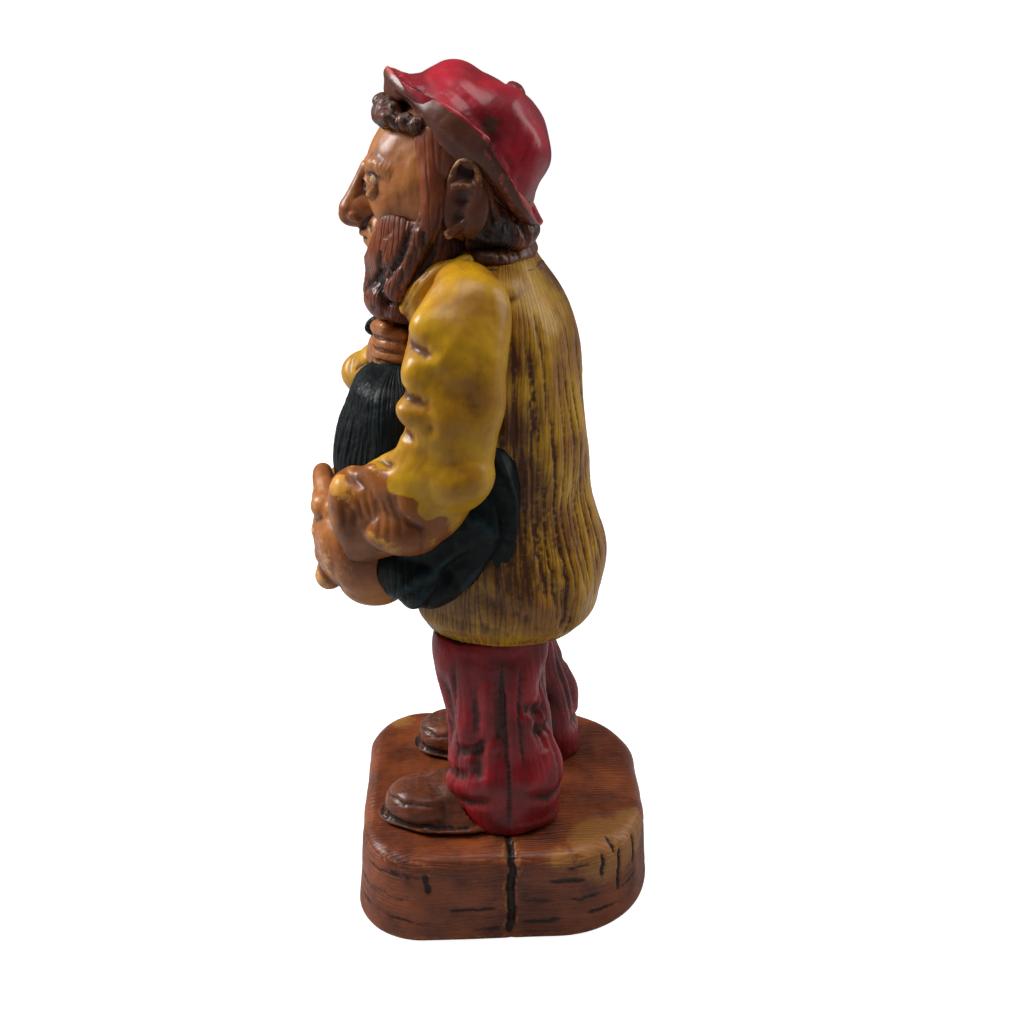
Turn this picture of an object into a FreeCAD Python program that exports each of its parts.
"""A painted wooden figurine: a bearded man in a felt hat and a smock, hugging a sack, on a rounded block.

It is modelled as the separate pieces that a carver dowels and glues together.
+Z is up, the man looks along -Y, his left hand side is +X, and the origin is the centre of the underside.
All lengths are in millimetres.
"""

import FreeCAD, Part
import math
import os

import Sketcher

from FreeCAD import Placement, Rotation, Vector

doc = FreeCAD.newDocument("figurine")

# Every size that can be set by itself, with what it is.
SIZES = {
    # base block
    "base_width": (76.0, "base block, left to right"),
    "base_depth": (82.0, "base block, front to back"),
    "base_height": (26.0, "base block, underside to top"),
    "base_front_corner": (18.5, "radius of the two front corners"),
    "base_back_corner": (28.0, "radius of the two back corners"),
    "base_draft": (3.5, "slope of the base block's sides, degrees"),
    "base_top_round": (4.5, "round along the top edge"),
    "base_foot_round": (1.2, "round along the bottom edge"),
    "check_mouth": (1.3, "drying check, width at the surface"),
    "check_reach": (15.0, "drying check, depth into the block"),
    "check_along": (0.8, "drying check, place along the left side"),
    # legs and shoes
    "leg_length": (56.0, "base top to the trouser seat"),
    "leg_spread": (14.6, "middle of the figure to the middle of a leg"),
    "leg_width": (12.0, "half width of a trouser leg"),
    "leg_depth": (15.0, "half depth of a trouser leg"),
    "right_leg_back": (8.5, "how far the right foot stands behind the left one"),
    "shoe_width": (9.6, "half width of a shoe"),
    "shoe_length": (22.5, "half length of a shoe"),
    "shoe_height": (10.5, "height of a shoe over the base"),
    "shoe_forward": (10.5, "middle of a shoe in front of the middle of its leg"),
    "seat_height": (11.0, "trouser seat, bottom to top, inside the smock"),
    "seat_width": (21.0, "half width of the trouser seat"),
    "seat_depth": (15.5, "half depth of the trouser seat"),
    # smock
    "hem_drop": (1.0, "how far the hem hangs below the trouser seat"),
    "smock_length": (97.0, "hem to neck"),
    "smock_width": (28.0, "half width of the smock at its widest"),
    "smock_depth": (24.6, "half depth of the smock at its widest"),
    "collar_height": (2.8, "collar, smock to top edge"),
    "collar_width": (15.0, "half width of the collar at its foot"),
    "collar_depth": (12.8, "half depth of the collar at its foot"),
    "lapel_length": (9.5, "half length of a lapel"),
    "lapel_width": (6.5, "half width of a lapel"),
    "lapel_thick": (4.5, "half thickness of a lapel"),
    # sleeves and hands
    "sleeve_depth": (11.2, "half depth of a sleeve"),
    "sleeve_width": (8.6, "half width of a sleeve"),
    "sleeve_out": (3.0, "middle of a sleeve outside the smock's side"),
    "upper_arm": (46.0, "shoulder to elbow"),
    "forearm": (28.0, "elbow to cuff"),
    "left_hand_length": (17.0, "half length of the left hand"),
    "left_hand_breadth": (13.6, "half breadth of the left hand"),
    "left_hand_thick": (7.5, "half thickness of the left hand"),
    "fist_width": (7.5, "half width of the right fist"),
    "fist_height": (6.0, "half height of the right fist"),
    # sack
    "sack_width": (18.5, "half width of the sack's swells"),
    "sack_depth": (17.5, "half depth of the sack's swells"),
    "sack_height": (25.0, "half height of the sack's upper swell"),
    "sack_low": (20.0, "half height of the sack's low swell at the side"),
    "sack_front": (16.5, "half height of the sack's low swell at the front"),
    "sack_neck_radius": (3.4, "radius of the sack's gathered neck"),
    "sack_frill_radius": (5.2, "radius of the frill past the fist"),
    "sack_frill_thick": (2.2, "half thickness of the frill"),
    "sack_neck_length": (14.0, "length of the sack's gathered neck"),
    # head
    "head_height": (47.5, "chin to the top of the skull"),
    "skull_width": (16.6, "half width of the skull"),
    "skull_depth": (20.0, "half depth of the skull"),
    "skull_height": (20.0, "half height of the skull"),
    "chin_drop": (10.5, "top of the smock down to the chin"),
    "jaw_width": (12.5, "half width of the jaw"),
    "jaw_height": (12.5, "half height of the jaw"),
    "neck_radius": (9.0, "radius of the neck"),
    "nose_length": (7.0, "how far the nose stands out of the face"),
    "nose_width": (3.4, "half width of the nose"),
    "nose_height": (4.2, "half height of the nose's tip"),
    "bridge_width": (2.2, "half width of the nose's bridge"),
    "bridge_height": (7.0, "half height of the nose's bridge"),
    "eye_radius": (2.8, "radius of an eyeball"),
    "eye_spread": (6.4, "middle of the face to the middle of an eye"),
    "ear_height": (7.8, "half height of an ear"),
    "ear_depth": (4.6, "half depth of an ear"),
    "ear_thick": (3.0, "half thickness of an ear"),
    "face_width": (11.0, "half width of the bare face in the beard"),
    "face_depth": (18.0, "half depth of the bare face's opening"),
    "face_height": (15.0, "half height of the bare face's opening"),
    "fringe_width": (12.0, "half width of the fringe"),
    "fringe_depth": (4.5, "half depth of the fringe"),
    "fringe_height": (3.6, "half height of the fringe"),
    "hair_thick": (2.0, "thickness of the hair over the skull"),
    "beard_thick": (3.2, "thickness of the beard over the jaw"),
    # hat
    "hat_tilt": (44.0, "brim tipped up at the front, degrees"),
    "brim_radius": (25.4, "radius of the brim"),
    "brim_thick": (2.2, "thickness of the brim"),
    "brim_droop": (2.6, "drop of the brim's edge below its root"),
    "crown_radius": (20.4, "radius of the crown at the brim"),
    "crown_height": (20.4, "brim to the top of the crown"),
    # joinery
    "glue_gap": (0.05, "clearance round a dowel"),
    "leg_dowel": (3.5, "radius of a leg dowel"),
    "arm_dowel": (3.0, "radius of a shoulder dowel"),
    "neck_dowel": (4.0, "radius of the neck and seat dowels"),
    "small_dowel": (2.0, "radius of a wrist, hat or sack dowel"),
    "dowel_bite": (12.0, "how far a dowel goes into each piece"),
    "small_bite": (5.0, "how far a small dowel goes into each piece"),
}

sheet = doc.addObject("Spreadsheet::Sheet", "dims")
for row, (alias, (value, meaning)) in enumerate(SIZES.items(), start=1):
    sheet.set(f"A{row}", meaning)
    sheet.set(f"B{row}", str(value))
    sheet.setAlias(f"B{row}", alias)
doc.recompute()

# Heights and places that follow from the sizes, as expressions of the sheet's cells.
HEM = "(dims.base_height + dims.leg_length - dims.hem_drop)"
SEAT = "(dims.base_height + dims.leg_length)"
NECK = f"({HEM} + dims.smock_length)"
ARM_X = "(dims.smock_width + dims.sleeve_out)"
SHOULDER_Z = f"({NECK} - 1)"
ELBOW_Z = f"({SHOULDER_Z} - dims.upper_arm)"
CHIN = f"({NECK} - dims.chin_drop)"
JAW_Z = f"({CHIN} + dims.jaw_height)"
SKULL_Z = f"({CHIN} + dims.head_height - dims.skull_height)"
HEAD_Y = -12.0
EYE_Z = f"({SKULL_Z} - 1)"
COLLAR_TOP = f"({NECK} + dims.collar_height)"
HAT_Y = HEAD_Y + 2.3
HAT_Z = f"({SKULL_Z} + 0.27 * dims.skull_height)"
SACK_Y = "(-1.07 * dims.smock_depth)"
SACK_Z = f"({HEM} + 0.4755 * dims.smock_length)"
FIST_Z = f"({HEM} + 0.754 * dims.smock_length)"


def number(expression):
    """The value of an expression of the sheet's cells."""
    return float(sheet.evalExpression(str(expression)))


def bind(item, **sizes):
    """Binds an object's properties to expressions of the sheet's cells."""
    for prop, expression in sizes.items():
        item.setExpression(prop, str(expression))
    return item


def put(item, x=0, y=0, z=0, turn=None):
    """Places an object: its position is bound to expressions, and its turn is a rotation."""
    item.Placement = Placement(Vector(), turn or Rotation())
    for axis, expression in zip("xyz", (x, y, z)):
        item.setExpression(f"Placement.Base.{axis}", str(expression))
    return item


def aim(direction, across=Vector(1, 0, 0)):
    """The rotation that sends +Z along a direction and keeps +X as near as it can to another."""
    z = Vector(direction).normalize()
    y = z.cross(Vector(across)).normalize()
    return Rotation(y.cross(z), y, z, "ZXY")


RING_POINTS = 12
FAR = 60  # past the figure's side, for the blocks that cut other pieces off flat


def ring(name, x, y, z, half_x, half_y, turn=None):
    """A closed oval that starts on its own +X whichever way it is longer, for a loft to run through.

    It is a free shape because a primitive ellipse starts on its longer side, which twists a loft.
    """
    reach_x = number(half_x)
    reach_y = number(half_y)
    turns = [2 * math.pi * step / RING_POINTS for step in range(RING_POINTS)]
    points = [Vector(reach_x * math.cos(angle), reach_y * math.sin(angle), 0) for angle in turns]
    curve = Part.BSplineCurve()
    curve.interpolate(Points=points, PeriodicFlag=True)
    oval = doc.addObject("Part::Feature", name)
    oval.Shape = Part.Wire(curve.toShape())
    return put(oval, x, y, z, turn)


def loft(name, rings):
    """A solid through a list of rings."""
    solid = doc.addObject("Part::Loft", name)
    solid.Sections = rings
    solid.Solid = True
    return solid


def egg(name, x, y, z, across, along, up, turn=None):
    """An ellipsoid with its half sizes along X, Y and Z."""
    solid = doc.addObject("Part::Ellipsoid", name)
    bind(solid, Radius1=up, Radius2=across, Radius3=along)
    return put(solid, x, y, z, turn)


def rod(name, radius, length, x, y, z, turn=None):
    """A round rod that starts at a point and runs along its own Z."""
    solid = doc.addObject("Part::Cylinder", name)
    bind(solid, Radius=radius, Height=length)
    return put(solid, x, y, z, turn)


def block(name, x, y, z, width, depth, height):
    """A box from its lowest corner."""
    solid = doc.addObject("Part::Box", name)
    bind(solid, Length=width, Width=depth, Height=height)
    return put(solid, x, y, z)


def fuse(name, *shapes):
    """One solid out of several that run into each other."""
    joined = doc.addObject("Part::MultiFuse", name)
    joined.Shapes = list(shapes)
    joined.Refine = True
    return joined


def cut(name, solid, *tools):
    """A solid less each of the tools, one after another."""
    for index, tool in enumerate(tools):
        less = doc.addObject("Part::Cut", f"{name}_cut{index}")
        less.Base = solid
        less.Tool = tool
        solid = less
    return solid


pieces = {}


def piece(label, solid):
    """Names a finished sub-part."""
    solid.Label = label
    pieces[label] = solid
    return solid


# ---------------------------------------------------------------- joinery

SIDES = {"left": 1, "right": -1}
UPRIGHT = Rotation()
SHOULDER_DOWEL_Z = f"({SHOULDER_Z} - 14)"
LEG_DOWEL_Y = {"left": "-1.5", "right": "(0.6 * dims.right_leg_back - 1.5)"}
TILT = Rotation(Vector(1, 0, 0), -number("dims.hat_tilt"))
HAT_AXIS = TILT.multVec(Vector(0, 0, 1))
LEFT_WRIST = Vector(-0.82, -0.28, -0.5)
RIGHT_WRIST = Vector(0.62, 0.3, 0.72)


def dowel(label, radius, length, x, y, z, turn=UPRIGHT):
    """A dowel, and the hole that it is glued into."""
    piece(label, rod(label, radius, length, x, y, z, turn))
    back = turn.multVec(Vector(0, 0, -1))
    return rod(
        f"{label}_hole",
        f"{radius} + dims.glue_gap",
        f"{length} + 2 * dims.glue_gap",
        f"{x} + {back.x:.6f} * dims.glue_gap",
        f"{y} + {back.y:.6f} * dims.glue_gap",
        f"{z} + {back.z:.6f} * dims.glue_gap",
        turn,
    )


def leg_holes():
    """A dowel up through each leg, from the base block into the trouser seat."""
    return {
        side: dowel(
            f"{side}_leg_dowel",
            "dims.leg_dowel",
            "dims.dowel_bite + dims.leg_length + dims.seat_height / 2",
            f"{sign} * dims.leg_spread",
            LEG_DOWEL_Y[side],
            "dims.base_height - dims.dowel_bite",
        )
        for side, sign in SIDES.items()
    }


def arm_holes():
    """A dowel across each shoulder, from the smock into the sleeve."""
    return {
        side: dowel(
            f"{side}_arm_dowel",
            "dims.arm_dowel",
            "1.4 * dims.dowel_bite",
            f"{sign} * ({ARM_X} + 1 - 1.4 * dims.dowel_bite)",
            "-11",
            SHOULDER_DOWEL_Z,
            Rotation(Vector(0, 1, 0), sign * 90),
        )
        for side, sign in SIDES.items()
    }


leg_hole = leg_holes()
arm_hole = arm_holes()
neck_hole = dowel(
    "neck_dowel",
    "dims.neck_dowel",
    "2 * dims.dowel_bite",
    "0",
    "-5",
    f"{NECK} - dims.dowel_bite",
)
seat_hole = dowel(
    "seat_dowel",
    "dims.neck_dowel",
    "dims.seat_height / 2 + dims.dowel_bite",
    "0",
    "0",
    f"{SEAT} + dims.seat_height / 2",
)
HAT_SEAM = "(0.72 * dims.skull_height)"
hat_hole = dowel(
    "hat_dowel",
    "dims.small_dowel",
    "2 * dims.small_bite",
    "0",
    f"{HAT_Y} + {HAT_AXIS.y:.6f} * ({HAT_SEAM} - dims.small_bite)",
    f"{HAT_Z} + {HAT_AXIS.z:.6f} * ({HAT_SEAM} - dims.small_bite)",
    TILT,
)
sack_hole = dowel(
    "sack_dowel",
    "dims.small_dowel",
    "2.8 * dims.small_bite",
    "2",
    "-0.95 * dims.smock_depth - 1.4 * dims.small_bite",
    f"{SACK_Z} - 2",
    Rotation(Vector(1, 0, 0), -90),
)
wrist_hole = {
    "left": dowel(
        "left_wrist_dowel",
        "dims.small_dowel",
        "2.4 * dims.small_bite",
        f"{ARM_X} - 8",
        "-17 - 0.68 * dims.forearm",
        f"{ELBOW_Z} - 12.5",
        aim(LEFT_WRIST),
    ),
    "right": dowel(
        "right_wrist_dowel",
        "dims.small_dowel",
        "2.4 * dims.small_bite",
        f"16.5 - {ARM_X}",
        "-17.5 - 0.5 * dims.forearm",
        f"{FIST_Z} - 8.5",
        aim(RIGHT_WRIST),
    ),
}


# ---------------------------------------------------------------- base, legs and shoes


def base_block():
    """A block with rounded corners and drafted sides, split down its left side by a drying check."""
    body = doc.addObject("PartDesign::Body", "base_block")
    ground = next(f for f in body.Origin.OriginFeatures if f.Role == "XY_Plane")
    outline = body.newObject("Sketcher::SketchObject", "base_outline")
    outline.AttachmentSupport = [(ground, "")]
    outline.MapMode = "FlatFace"
    half_w = number("dims.base_width") / 2
    half_d = number("dims.base_depth") / 2
    front = number("dims.base_front_corner")
    back = number("dims.base_back_corner")
    corners = [
        (half_w, -half_d, front, -90),
        (half_w, half_d, back, 0),
        (-half_w, half_d, back, 90),
        (-half_w, -half_d, front, 180),
    ]
    arcs = []
    for x, y, radius, start in corners:
        centre = Vector(x - math.copysign(radius, x), y - math.copysign(radius, y), 0)
        circle = Part.Circle(centre, Vector(0, 0, 1), radius)
        arc = Part.ArcOfCircle(circle, math.radians(start), math.radians(start + 90))
        arcs.append(outline.addGeometry(arc, False))
    sides = []
    for index, arc in enumerate(arcs):
        after = arcs[(index + 1) % 4]
        start = outline.getPoint(arc, 2)
        end = outline.getPoint(after, 1)
        sides.append(outline.addGeometry(Part.LineSegment(start, end), False))
        outline.addConstraint(Sketcher.Constraint("Tangent", arc, 2, sides[-1], 1))
        outline.addConstraint(Sketcher.Constraint("Tangent", sides[-1], 2, after, 1))
    for index, kind in enumerate(("Vertical", "Horizontal", "Vertical", "Horizontal")):
        outline.addConstraint(Sketcher.Constraint(kind, sides[index]))
    spans = [
        ("DistanceX", sides[2], 1, sides[0], 1, "base_width"),
        ("DistanceY", sides[3], 1, sides[1], 1, "base_depth"),
        ("DistanceX", -1, 1, sides[0], 1, "base_width / 2"),
        ("DistanceY", -1, 1, sides[1], 1, "base_depth / 2"),
    ]
    for kind, a, at_a, b, at_b, alias in spans:
        span = number(f"dims.{alias}")
        made = outline.addConstraint(Sketcher.Constraint(kind, a, at_a, b, at_b, span))
        outline.setExpression(f"Constraints[{made}]", f"dims.{alias}")
    for arc, alias in zip(arcs, ("front", "back", "back", "front")):
        radius = number(f"dims.base_{alias}_corner")
        made = outline.addConstraint(Sketcher.Constraint("Radius", arc, radius))
        outline.setExpression(f"Constraints[{made}]", f"dims.base_{alias}_corner")
    pad = body.newObject("PartDesign::Pad", "base_pad")
    pad.Profile = outline
    pad.setExpression("Length", "dims.base_height")
    pad.setExpression("TaperAngle", "-dims.base_draft")
    doc.recompute()
    for name, at_top in (("top_round", True), ("foot_round", False)):
        base = body.Tip
        level = number("dims.base_height") if at_top else 0.0
        edges = [
            f"Edge{index + 1}"
            for index, edge in enumerate(base.Shape.Edges)
            if all(abs(vertex.Point.z - level) < 1e-4 for vertex in edge.Vertexes)
        ]
        rounding = body.newObject("PartDesign::Fillet", name)
        rounding.Base = (base, edges)
        rounding.setExpression("Radius", f"dims.base_{name}")
        doc.recompute()
    check = body.newObject("Sketcher::SketchObject", "check_outline")
    check.AttachmentSupport = [(ground, "")]
    check.MapMode = "FlatFace"
    mouth_x = half_w + 1
    mouth = number("dims.check_mouth") / 2
    at = number("dims.check_along")
    tip = Vector(half_w - number("dims.check_reach"), at, 0)
    wedge = [Vector(mouth_x, at - mouth, 0), Vector(mouth_x, at + mouth, 0), tip]
    for start, end in zip(wedge, wedge[1:] + wedge[:1]):
        check.addGeometry(Part.LineSegment(start, end), False)
    for index in range(3):
        check.addConstraint(Sketcher.Constraint("Coincident", index, 2, (index + 1) % 3, 1))
    check.addConstraint(Sketcher.Constraint("Vertical", 0))
    limits = [
        ("DistanceX", 0, 1, mouth_x, "dims.base_width / 2 + 1"),
        ("DistanceY", 0, 1, at - mouth, "dims.check_along - dims.check_mouth / 2"),
        ("DistanceY", 0, 2, at + mouth, "dims.check_along + dims.check_mouth / 2"),
        ("DistanceX", 1, 2, tip.x, "dims.base_width / 2 - dims.check_reach"),
        ("DistanceY", 1, 2, tip.y, "dims.check_along"),
    ]
    for kind, line, end, value, expression in limits:
        made = check.addConstraint(Sketcher.Constraint(kind, -1, 1, line, end, value))
        check.setExpression(f"Constraints[{made}]", expression)
    groove = body.newObject("PartDesign::Pocket", "check_groove")
    groove.Profile = check
    groove.Type = "ThroughAll"
    groove.Reversed = True
    doc.recompute()
    return piece("base_block", cut("base_block", body, *leg_hole.values()))


# Height up the leg, forward lean, and half sizes, each as a share of the leg's own size.
LEG_SHAPE = [
    (0.00, 0.9, 1.0, 0.97, 0.90),
    (0.14, 1.4, 1.0, 1.08, 1.00),
    (0.34, 0.9, 0.8, 1.07, 1.01),
    (0.55, -0.1, 0.5, 1.01, 0.94),
    (0.72, -0.8, 0.2, 0.95, 0.96),
    (1.00, -1.9, 0.0, 0.87, 1.00),
]


def trouser_leg(side):
    """One leg, bagging over the shoe and narrowing into the seat."""
    sign = SIDES[side]
    back = "dims.right_leg_back" if side == "right" else "0"
    rings = [
        ring(
            f"{side}_leg_ring{index}",
            f"{sign} * (dims.leg_spread + {out})",
            f"3.9 * {low} - 3.5 + (0.3 + 0.7 * {low}) * {back}",
            f"dims.base_height + {up} * dims.leg_length",
            f"{width} * dims.leg_width",
            f"{depth} * dims.leg_depth",
        )
        for index, (up, out, low, width, depth) in enumerate(LEG_SHAPE)
    ]
    return loft(f"{side}_leg_loft", rings)


def shoe(side, leg):
    """The foot that shows in front of the trouser leg, flat on the base block."""
    sign = SIDES[side]
    back = "dims.right_leg_back" if side == "right" else "0"
    foot = egg(
        f"{side}_foot",
        f"{sign} * (dims.leg_spread + 1.4)",
        f"{back} - dims.shoe_forward",
        "dims.base_height + 1",
        "dims.shoe_width",
        "dims.shoe_length",
        "dims.shoe_height",
    )
    under = block(f"{side}_foot_under", -FAR, -FAR, -FAR, 2 * FAR, 2 * FAR, f"{FAR} + dims.base_height")
    return piece(f"{side}_shoe", cut(f"{side}_shoe", foot, under, leg))


def seat():
    """The trouser seat, inside the hem of the smock."""
    rings = [
        ring("seat_ring0", "0", "-1", SEAT, "dims.seat_width", "dims.seat_depth"),
        ring(
            "seat_ring1",
            "0",
            "-1",
            f"{SEAT} + dims.seat_height",
            "0.96 * dims.seat_width",
            "0.96 * dims.seat_depth",
        ),
    ]
    return loft("seat_loft", rings)


base_block()
leg_loft = {side: trouser_leg(side) for side in SIDES}
for side, leg in leg_loft.items():
    shoe(side, leg)
    piece(f"{side}_trouser_leg", cut(f"{side}_trouser_leg", leg, leg_hole[side]))
seat_loft = seat()
piece("trouser_seat", cut("trouser_seat", seat_loft, seat_hole, *leg_hole.values()))

# ---------------------------------------------------------------- smock and sleeves

# Height up the smock, middle, and half sizes, each as a share of the smock's own size.
SMOCK_SHAPE = [
    (0.000, 0.5, 0.84, 0.80),
    (0.040, 1.3, 0.95, 0.94),
    (0.100, 1.8, 1.02, 1.01),
    (0.300, 0.5, 1.00, 0.98),
    (0.508, -0.8, 0.97, 0.93),
    (0.710, -1.5, 0.95, 0.87),
    (0.858, -2.5, 0.92, 0.77),
    (0.948, -3.5, 0.77, 0.61),
    (1.000, -4.0, 0.53, 0.51),
]


def smock():
    """The smock as one tapering bag from hem to neck."""
    rings = [
        ring(
            f"smock_ring{index}",
            "0",
            middle,
            f"{HEM} + {up} * dims.smock_length",
            f"{width} * dims.smock_width",
            f"{depth} * dims.smock_depth",
        )
        for index, (up, middle, width, depth) in enumerate(SMOCK_SHAPE)
    ]
    return loft("smock_loft", rings)


def sleeve(side, course):
    """A sleeve that runs through a course of rings, from the shoulder to the cuff."""
    sign = SIDES[side]
    rings = [
        ring(
            f"{side}_sleeve_ring{index}",
            f"{sign} * ({ARM_X} - {inward})",
            y,
            z,
            f"{width} * dims.sleeve_width",
            f"{depth} * dims.sleeve_depth",
            aim(Vector(sign * way[0], way[1], way[2]), Vector(1, 0, 0)),
        )
        for index, (inward, y, z, width, depth, way) in enumerate(course)
    ]
    return loft(f"{side}_sleeve_loft", rings)


# Inward from the arm's line, place, half sizes as shares of the sleeve's, and the way it runs.
UPPER_COURSE = [
    (12.0, "-8.5", f"{SHOULDER_Z} - 2.5", 0.55, 0.60, (0.75, 0.0, -0.66)),
    (5.5, "-10", f"{SHOULDER_Z} - 9", 0.97, 0.98, (0.48, -0.05, -0.88)),
    (1.2, "-11.5", f"{SHOULDER_Z} - 0.5 * dims.upper_arm", 0.99, 1.01, (0.1, -0.1, -1.0)),
    (0.0, "-13.5", f"{ELBOW_Z} + 9", 0.99, 0.97, (0.0, -0.25, -0.97)),
]
LEFT_COURSE = UPPER_COURSE + [
    (0.5, "-18", f"{ELBOW_Z} - 1", 0.99, 1.03, (-0.1, -0.7, -0.7)),
    (3.5, "-18 - 0.36 * dims.forearm", f"{ELBOW_Z} - 8.5", 0.93, 1.07, (-0.35, -0.9, -0.3)),
    (9.0, "-18 - 0.68 * dims.forearm", f"{ELBOW_Z} - 14", 0.81, 1.12, (-0.55, -0.8, -0.15)),
]
RIGHT_COURSE = UPPER_COURSE + [
    (0.6, "-19", f"{ELBOW_Z} + 1", 0.95, 0.86, (-0.1, -0.8, -0.4)),
    (7.0, "-18 - 0.46 * dims.forearm", f"{ELBOW_Z} + 5", 0.86, 0.74, (-0.65, -0.7, 0.3)),
    (15.5, "-18 - 0.52 * dims.forearm", f"{ELBOW_Z} + 13", 0.81, 0.68, (-0.75, -0.1, 0.65)),
]

smock_loft = smock()
sleeve_loft = {"left": sleeve("left", LEFT_COURSE), "right": sleeve("right", RIGHT_COURSE)}
piece(
    "coat_body",
    cut(
        "coat_body",
        smock_loft,
        seat_hole,
        neck_hole,
        sack_hole,
        *arm_hole.values(),
        seat_loft,
        *leg_loft.values(),
    ),
)
for side, loose in sleeve_loft.items():
    piece(
        f"{side}_sleeve",
        cut(f"{side}_sleeve", loose, smock_loft, arm_hole[side], wrist_hole[side]),
    )

# ---------------------------------------------------------------- sack and hands

sack_swells = fuse(
    "sack_swells",
    egg("sack_upper", 1, SACK_Y, SACK_Z, "dims.sack_width", "0.97 * dims.sack_depth", "dims.sack_height"),
    egg(
        "sack_side",
        13,
        f"{SACK_Y} + 11",
        f"{SACK_Z} - 14",
        "0.97 * dims.sack_width",
        "1.14 * dims.sack_depth",
        "dims.sack_low",
    ),
    egg(
        "sack_low",
        5,
        f"{SACK_Y} + 1",
        f"{SACK_Z} - 19",
        "0.97 * dims.sack_width",
        "1.08 * dims.sack_depth",
        "dims.sack_front",
    ),
)
piece(
    "sack_body",
    cut("sack_body", sack_swells, sack_hole, wrist_hole["left"], smock_loft, *sleeve_loft.values()),
)
palm = egg(
    "left_palm",
    7,
    f"{SACK_Y} - 0.84 * dims.sack_depth",
    f"{SACK_Z} - 19",
    "dims.left_hand_length",
    "dims.left_hand_thick",
    "dims.left_hand_breadth",
)
piece(
    "left_hand",
    cut("left_hand", palm, sack_swells, sleeve_loft["left"], wrist_hole["left"]),
)

# ---------------------------------------------------------------- head


def head_mass():
    """Skull, jaw, neck and nose as one."""
    skull = egg("skull", 0, HEAD_Y, SKULL_Z, "dims.skull_width", "dims.skull_depth", "dims.skull_height")
    jaw = egg("jaw", 0, HEAD_Y - 6, JAW_Z, "dims.jaw_width", "dims.jaw_width", "dims.jaw_height")
    neck = rod("neck", "dims.neck_radius", f"{SKULL_Z} - {NECK}", 0, -5, NECK)
    nose = egg(
        "nose",
        0,
        f"{HEAD_Y} - dims.skull_depth",
        f"{SKULL_Z} - 7",
        "dims.nose_width",
        "dims.nose_length",
        "dims.nose_height",
        Rotation(Vector(1, 0, 0), 18),
    )
    bridge = egg(
        "bridge",
        0,
        f"{HEAD_Y} - dims.skull_depth + 1",
        f"{SKULL_Z} - 3",
        "dims.bridge_width",
        "0.5 * dims.nose_length",
        "dims.bridge_height",
        Rotation(Vector(1, 0, 0), -12),
    )
    return fuse("head_mass", skull, jaw, neck, nose, bridge)


def eyes():
    """The two eyeballs, each seated in a socket of its own shape."""
    made = {}
    for side, sign in SIDES.items():
        ball = egg(
            f"{side}_eye",
            f"{sign} * dims.eye_spread",
            f"{HEAD_Y} - 0.86 * dims.skull_depth",
            EYE_Z,
            "dims.eye_radius",
            "dims.eye_radius",
            "dims.eye_radius",
        )
        made[side] = piece(f"{side}_eye", ball)
    return made


beard_outer = egg(
    "beard_outer",
    0,
    HEAD_Y - 6,
    f"{JAW_Z} - 0.5",
    "dims.jaw_width + dims.beard_thick",
    "dims.jaw_width + dims.beard_thick",
    "dims.jaw_height + 1.9 * dims.beard_thick",
)


def beard(head):
    """A full beard round the jaw, open at the front for the face."""
    face = egg(
        "face_opening",
        0,
        HEAD_Y - 24,
        f"{JAW_Z} + 12",
        "dims.face_width",
        "dims.face_depth",
        "dims.face_height",
    )
    behind = block("beard_behind", -FAR, HEAD_Y + 3, f"{CHIN} - 20", 2 * FAR, FAR, 2 * FAR)
    return cut("beard", beard_outer, face, behind, head, smock_loft)


head_solid = head_mass()
eye = eyes()
beard_solid = piece("beard", beard(head_solid))
piece("head", cut("head", head_solid, smock_loft, *eye.values(), neck_hole, hat_hole))

hat_side = block("hat_side", 0, 0, 0, 2 * FAR, 2 * FAR, FAR)
corner = TILT.multVec(Vector(-FAR, -FAR, 0))
put(hat_side, f"{corner.x:.6f}", f"{HAT_Y} + {corner.y:.6f}", f"{HAT_Z} - 1 + {corner.z:.6f}", TILT)
hair_outer = egg(
    "hair_outer",
    0,
    HEAD_Y + 0.5,
    f"{SKULL_Z} - 2",
    "dims.skull_width + dims.hair_thick",
    "dims.skull_depth + dims.hair_thick",
    "dims.skull_height",
)
hair_front = block("hair_front", -FAR, HEAD_Y + 3 - FAR, f"{CHIN} - 20", 2 * FAR, FAR, 2 * FAR)
hair_low = block("hair_low", -FAR, -FAR, f"{CHIN} - 20", 2 * FAR, 2 * FAR, f"{COLLAR_TOP} - {CHIN} + 20")
hair_solid = piece("hair", cut("hair", hair_outer, hair_front, hair_low, head_solid, hat_side))
fringe_outer = egg(
    "fringe_outer",
    0,
    HEAD_Y - 13.5,
    f"{SKULL_Z} + 14.5",
    "dims.fringe_width",
    "dims.fringe_depth",
    "dims.fringe_height",
)
fringe_solid = piece("fringe", cut("fringe", fringe_outer, head_solid))
ear_solid = {}
for side, sign in SIDES.items():
    lobe = egg(
        f"{side}_ear_outer",
        f"{sign} * (dims.skull_width + 0.6)",
        HEAD_Y + 4,
        f"{SKULL_Z} - 3",
        "dims.ear_thick",
        "dims.ear_depth",
        "dims.ear_height",
        Rotation(Vector(0, 0, 1), -sign * 18),
    )
    ear_solid[side] = piece(
        f"{side}_ear", cut(f"{side}_ear", lobe, head_solid, hair_outer, beard_outer)
    )


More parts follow.
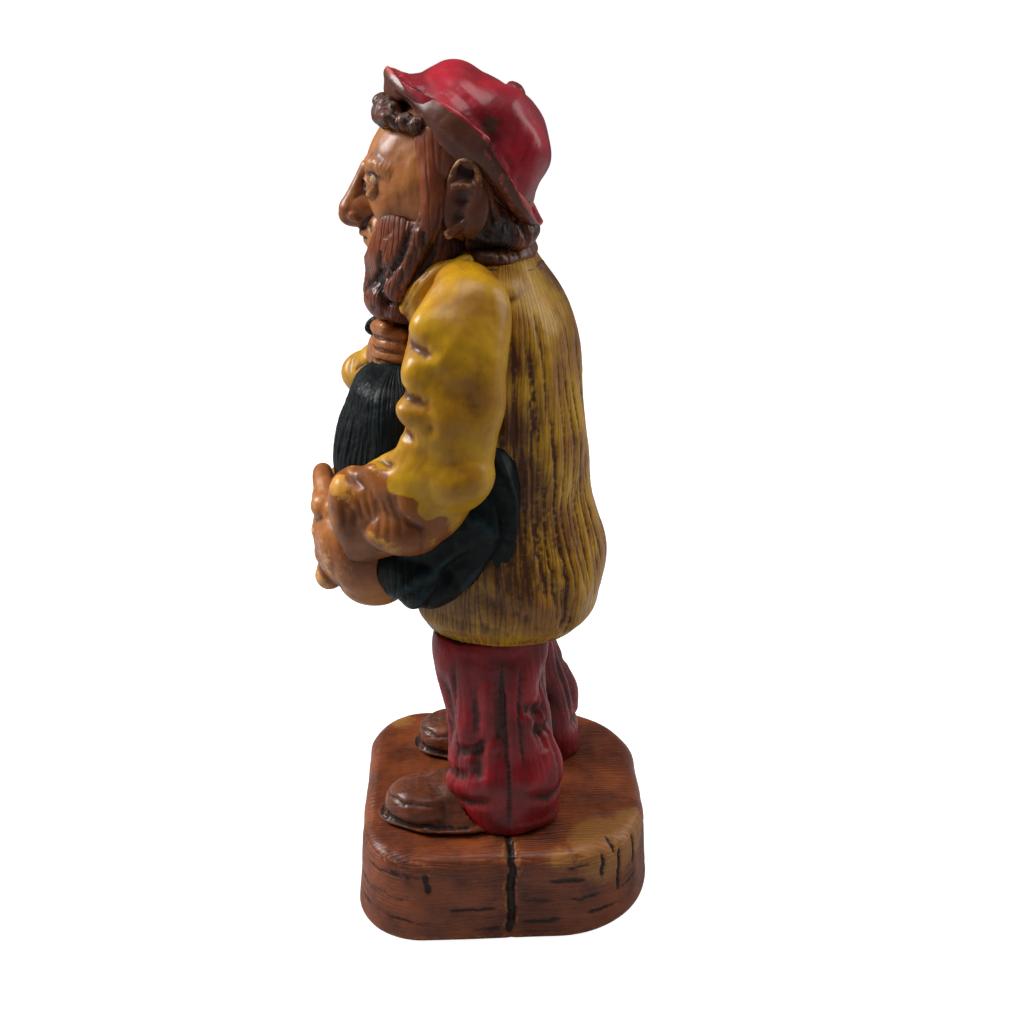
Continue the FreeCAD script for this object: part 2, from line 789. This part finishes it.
def hat():
    """A soft crown on a drooping brim, sunk over the head."""
    shoulder = "0.86 * dims.crown_radius"
    wall = doc.addObject("Part::Cone", "crown_wall")
    bind(wall, Radius1="dims.crown_radius", Radius2=shoulder, Height="0.55 * dims.crown_height")
    put(wall, "0", HAT_Y, HAT_Z, TILT)
    dome = egg(
        "crown_dome",
        0,
        f"{HAT_Y} + {HAT_AXIS.y:.6f} * 0.5 * dims.crown_height",
        f"{HAT_Z} + {HAT_AXIS.z:.6f} * 0.5 * dims.crown_height",
        shoulder,
        shoulder,
        "0.5 * dims.crown_height",
        TILT,
    )
    dome.Angle1 = 0
    low = TILT.multVec(Vector(0, 0, -1))
    brim = doc.addObject("Part::Cone", "brim_top")
    bind(
        brim,
        Radius1="dims.brim_radius",
        Radius2="dims.crown_radius",
        Height="dims.brim_droop + dims.brim_thick",
    )
    drop = "dims.brim_droop"
    put(brim, "0", f"{HAT_Y} + {low.y:.6f} * {drop}", f"{HAT_Z} + {low.z:.6f} * {drop}", TILT)
    under = doc.addObject("Part::Cone", "brim_under")
    bind(
        under,
        Radius1="dims.brim_radius - 0.6",
        Radius2="dims.crown_radius - 2",
        Height="dims.brim_droop + 0.1",
    )
    drop = "(dims.brim_droop + 0.1)"
    put(under, "0", f"{HAT_Y} + {low.y:.6f} * {drop}", f"{HAT_Z} + {low.z:.6f} * {drop}", TILT)
    shell = fuse("hat_shell", wall, dome, cut("brim", brim, under))
    return cut(
        "hat",
        shell,
        head_solid,
        hair_solid,
        fringe_solid,
        *ear_solid.values(),
        hat_hole,
    )


piece("hat", hat())


def collar():
    """The stand of the collar, closed round the neck and standing on the smock's top."""
    foot = ring("collar_foot", "0", "-4", NECK, "dims.collar_width", "dims.collar_depth")
    top = ring("collar_top", "0", "-4.5", COLLAR_TOP, "0.93 * dims.collar_width", "0.95 * dims.collar_depth")
    return loft("collar_loft", [foot, top])


def lapel(side):
    """One turned-back corner of the collar, lying on the chest."""
    return egg(
        f"{side}_lapel_flap",
        f"{SIDES[side]} * 8.5",
        "-7 - dims.collar_depth",
        f"{NECK} - 8",
        "dims.lapel_width",
        "dims.lapel_thick",
        "dims.lapel_length",
    )


collar_loft = collar()
piece("coat_collar", cut("coat_collar", collar_loft, head_solid, beard_outer))
for side in SIDES:
    flap = lapel(side)
    piece(f"{side}_lapel", cut(f"{side}_lapel", flap, smock_loft, collar_loft, beard_outer))

# ---------------------------------------------------------------- right fist and the sack's neck

neck_way = aim(Vector(-0.6, -0.2, 0.75))
neck_axis = neck_way.multVec(Vector(0, 0, 1))
GATHER_X = 1
GATHER_Y = -26.5
GATHER_Z = f"{FIST_Z} - 7"
gather = rod(
    "sack_gather",
    "dims.sack_neck_radius",
    "dims.sack_neck_length",
    GATHER_X,
    GATHER_Y,
    GATHER_Z,
    neck_way,
)
frill = egg(
    "sack_frill",
    f"{GATHER_X} + {neck_axis.x:.6f} * dims.sack_neck_length",
    f"{GATHER_Y} + {neck_axis.y:.6f} * dims.sack_neck_length",
    f"{GATHER_Z} + {neck_axis.z:.6f} * dims.sack_neck_length",
    "dims.sack_frill_radius",
    "dims.sack_frill_radius",
    "dims.sack_frill_thick",
    neck_way,
)
neck_mass = fuse("sack_neck_mass", gather, frill)
piece("sack_neck", cut("sack_neck", neck_mass, wrist_hole["right"], sack_swells, smock_loft, beard_outer))
fist = egg(
    "right_fist",
    -3.5,
    GATHER_Y,
    FIST_Z,
    "dims.fist_width",
    "dims.fist_height",
    "dims.fist_height",
)
piece(
    "right_hand",
    cut(
        "right_hand",
        fist,
        neck_mass,
        sack_swells,
        smock_loft,
        sleeve_loft["right"],
        beard_outer,
        wrist_hole["right"],
    ),
)

# ---------------------------------------------------------------- checks and export

doc.recompute()
faults = [item.Name for item in doc.Objects if "Invalid" in item.State or "Error" in item.State]
for label, item in pieces.items():
    if item.Shape.isNull() or not item.Shape.isValid():
        faults.append(label)
if faults:
    raise RuntimeError(f"not built: {faults}")
os.makedirs("parts", exist_ok=True)
for label, item in pieces.items():
    item.Shape.exportStep(f"parts/{label}.step")
